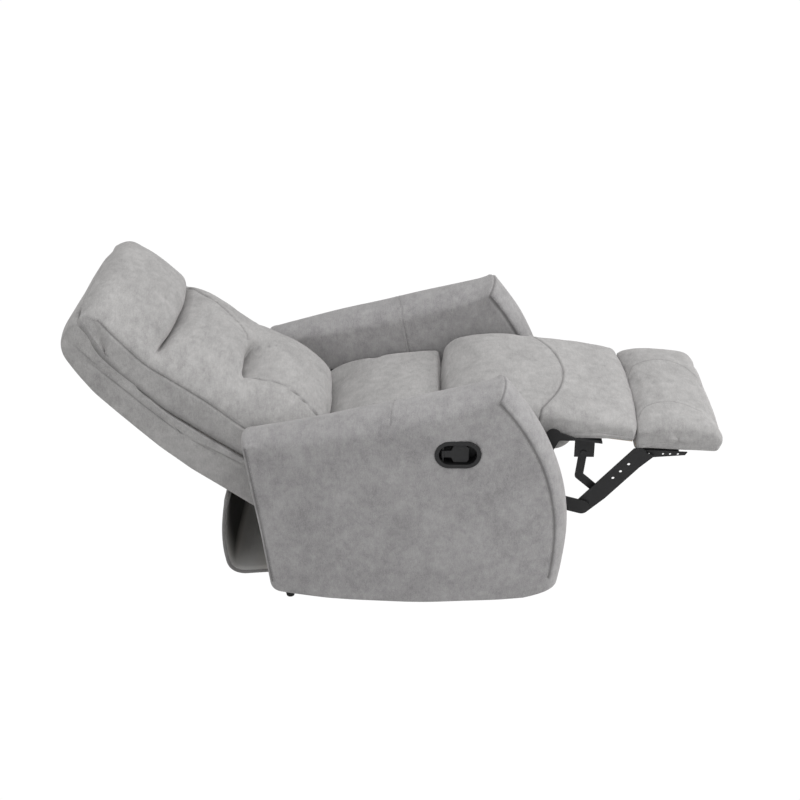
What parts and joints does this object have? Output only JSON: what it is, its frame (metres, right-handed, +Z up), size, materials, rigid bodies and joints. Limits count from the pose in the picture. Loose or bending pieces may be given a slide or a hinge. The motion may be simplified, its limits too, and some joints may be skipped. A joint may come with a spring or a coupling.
{
  "type": "swivel glider recliner",
  "caption": "Upholstered one-seat recliner with wing-shaped arms, padded back and folding footrest, on a gliding and swivelling steel base, shown reclined.",
  "frame": {"origin": "on the floor under the swivel axis, which is also the middle of the reclined chair's plan", "axes": "+Z up, -Y the way the occupant faces, -X the occupant's right, where the handle is"},
  "size_m": [0.8005, 1.6595, 0.8062],
  "materials": {
    "suede_cloth": "matte suede-like cloth",
    "lining_cloth": "matte woven lining",
    "black_steel": "matte black powder coat",
    "zinc_steel": "zinc plated",
    "spring_wire": "oiled spring wire",
    "black_plastic": "satin moulded plastic",
    "black_rubber": "matte rubber",
    "plywood": "raw plywood"
  },
  "bodies": {
    "base": {"base_ring": "black_steel", "base_cross": "black_steel", "base_glides": "black_plastic", "lower_race": "zinc_steel", "bearing_balls": "zinc_steel", "swivel_bolt": "zinc_steel"},
    "swivel": {"upper_race": "zinc_steel", "swivel_plate": "black_steel", "glide_frame": "black_steel", "swing_pins": "zinc_steel"},
    "front_link": {"front_swing_links": "black_steel"},
    "rear_link": {"rear_swing_links": "black_steel"},
    "carriage": {"carriage_rails": "black_steel", "carriage_tubes": "black_steel", "left_carriage_plate": "black_steel", "right_carriage_plate": "black_steel", "left_arm": "suede_cloth", "right_arm": "suede_cloth", "left_arm_frame": "plywood", "right_arm_frame": "plywood", "arm_bumpers": "black_rubber", "rear_rail": "plywood", "rear_apron": "lining_cloth", "handle_cup": "black_plastic", "handle_pin": "zinc_steel"},
    "paddle": {"handle_paddle": "black_plastic"},
    "seat": {"left_seat_plate": "black_steel", "right_seat_plate": "black_steel", "seat_rails": "black_steel", "seat_springs": "spring_wire", "seat_cushion": "suede_cloth", "thigh_bolster": "suede_cloth"},
    "back": {"back_shell": "suede_cloth", "back_frame": "plywood", "back_springs": "spring_wire", "left_back_bracket": "black_steel", "right_back_bracket": "black_steel", "lumbar_cushion": "suede_cloth", "mid_cushion": "suede_cloth", "head_pillow": "suede_cloth"},
    "lower_link": {"lower_links": "black_steel"},
    "upper_link": {"upper_links": "black_steel"},
    "foot_pad": {"foot_pad_board": "plywood", "foot_pad_cushion": "suede_cloth", "foot_brackets": "black_steel"},
    "mid_pad": {"mid_pad_board": "plywood", "mid_pad_cushion": "suede_cloth", "mid_brackets": "black_steel"},
    "mid_link": {"mid_links": "black_steel"}
  },
  "joints": [
    {"name": "swivel_turn", "type": "hinge", "parent": "base", "child": "swivel", "pos_m": [0, 0, 0.036], "axis": [0, 0, 1], "continuous": true},
    {"name": "glide", "type": "hinge", "parent": "swivel", "child": "front_link", "pos_m": [0, -0.125, 0.172], "axis": [1, 0, 0], "range_deg": [-16, 16]},
    {"name": "glide_level", "type": "hinge", "parent": "front_link", "child": "carriage", "pos_m": [0, -0.125, 0.082], "axis": [1, 0, 0], "range_deg": [-16, 16]},
    {"name": "glide_rear", "type": "hinge", "parent": "swivel", "child": "rear_link", "pos_m": [0, 0.125, 0.172], "axis": [1, 0, 0], "range_deg": [-16, 16]},
    {"name": "seat_tilt", "type": "hinge", "parent": "carriage", "child": "seat", "pos_m": [0, -0.325, 0.322], "axis": [1, 0, 0], "range_deg": [0, 8]},
    {"name": "back_recline", "type": "hinge", "parent": "seat", "child": "back", "pos_m": [0, 0.192, 0.37], "axis": [1, 0, 0], "range_deg": [0, 38]},
    {"name": "footrest_fold", "type": "hinge", "parent": "seat", "child": "lower_link", "pos_m": [0, -0.253, 0.307], "axis": [1, 0, 0], "range_deg": [0, 86]},
    {"name": "footrest_level", "type": "hinge", "parent": "lower_link", "child": "upper_link", "pos_m": [0, -0.473, 0.248], "axis": [1, 0, 0], "range_deg": [-86, 0]},
    {"name": "foot_pad_turn", "type": "hinge", "parent": "upper_link", "child": "foot_pad", "pos_m": [0, -0.61, 0.398], "axis": [1, 0, 0], "range_deg": [0, 91.59]},
    {"name": "mid_pad_fold", "type": "hinge", "parent": "seat", "child": "mid_pad", "pos_m": [0, -0.39, 0.457], "axis": [1, 0, 0], "range_deg": [0, 86]},
    {"name": "mid_link_swing", "type": "hinge", "parent": "mid_pad", "child": "mid_link", "pos_m": [0, -0.47, 0.398], "axis": [1, 0, 0], "range_deg": [-61.92, 0]},
    {"name": "handle_pull", "type": "hinge", "parent": "carriage", "child": "paddle", "pos_m": [-0.39152, -0.113, 0.482], "axis": [0, 0, -1], "range_deg": [0, 35], "stiffness_Nm_per_rad": 0.5}
  ],
  "couplings": [
    {"joint": "glide_level", "follows": "glide", "ratio": -1},
    {"joint": "glide_rear", "follows": "glide", "ratio": 1},
    {"joint": "seat_tilt", "follows": "back_recline", "ratio": 0.21053},
    {"joint": "footrest_level", "follows": "footrest_fold", "ratio": -1},
    {"joint": "foot_pad_turn", "follows": "footrest_fold", "ratio": 1.065},
    {"joint": "mid_pad_fold", "follows": "footrest_fold", "ratio": 1},
    {"joint": "mid_link_swing", "follows": "footrest_fold", "ratio": -0.72}
  ]
}
